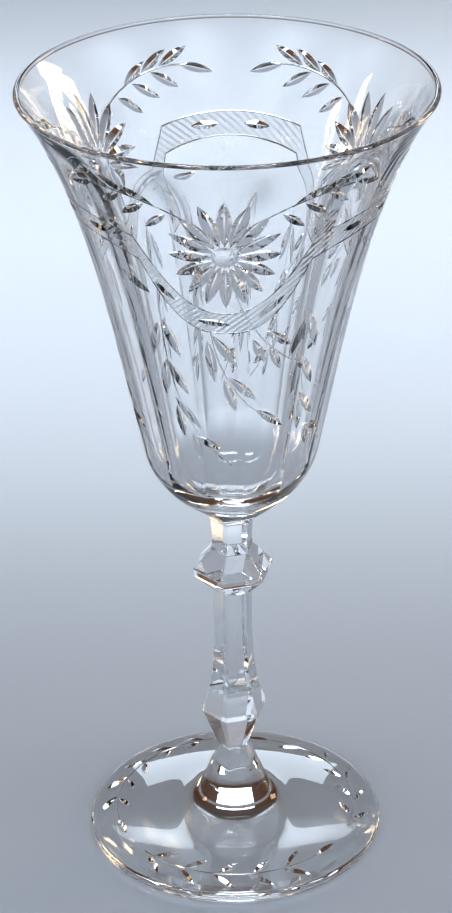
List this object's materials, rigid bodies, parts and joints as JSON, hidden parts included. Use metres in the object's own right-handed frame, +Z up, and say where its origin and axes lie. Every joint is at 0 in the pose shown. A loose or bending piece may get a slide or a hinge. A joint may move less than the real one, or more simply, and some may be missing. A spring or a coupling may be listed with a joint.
{
  "type": "wine glass",
  "caption": "Stemmed wine glass with a flared round bowl, a six-sided stem with a knop and a lower bulb, and a domed round foot, with cut floral decoration.",
  "frame": {"origin": "centre of the foot, on the surface that the glass stands on", "axes": "+Z runs up the stem's axis to the rim; the middle of one decoration panel faces -Y"},
  "size_m": [0.0856, 0.0856, 0.178],
  "materials": {
    "bowl_crystal": "polished colourless crystal with cut and frosted decoration",
    "stem_crystal": "polished colourless crystal, flat-cut facets",
    "foot_crystal": "polished colourless crystal with cut leaves"
  },
  "bodies": {
    "root": {"bowl": "bowl_crystal", "stem_collar": "stem_crystal", "knop": "stem_crystal", "stem_shaft": "stem_crystal", "foot": "foot_crystal"}
  },
  "joints": []
}
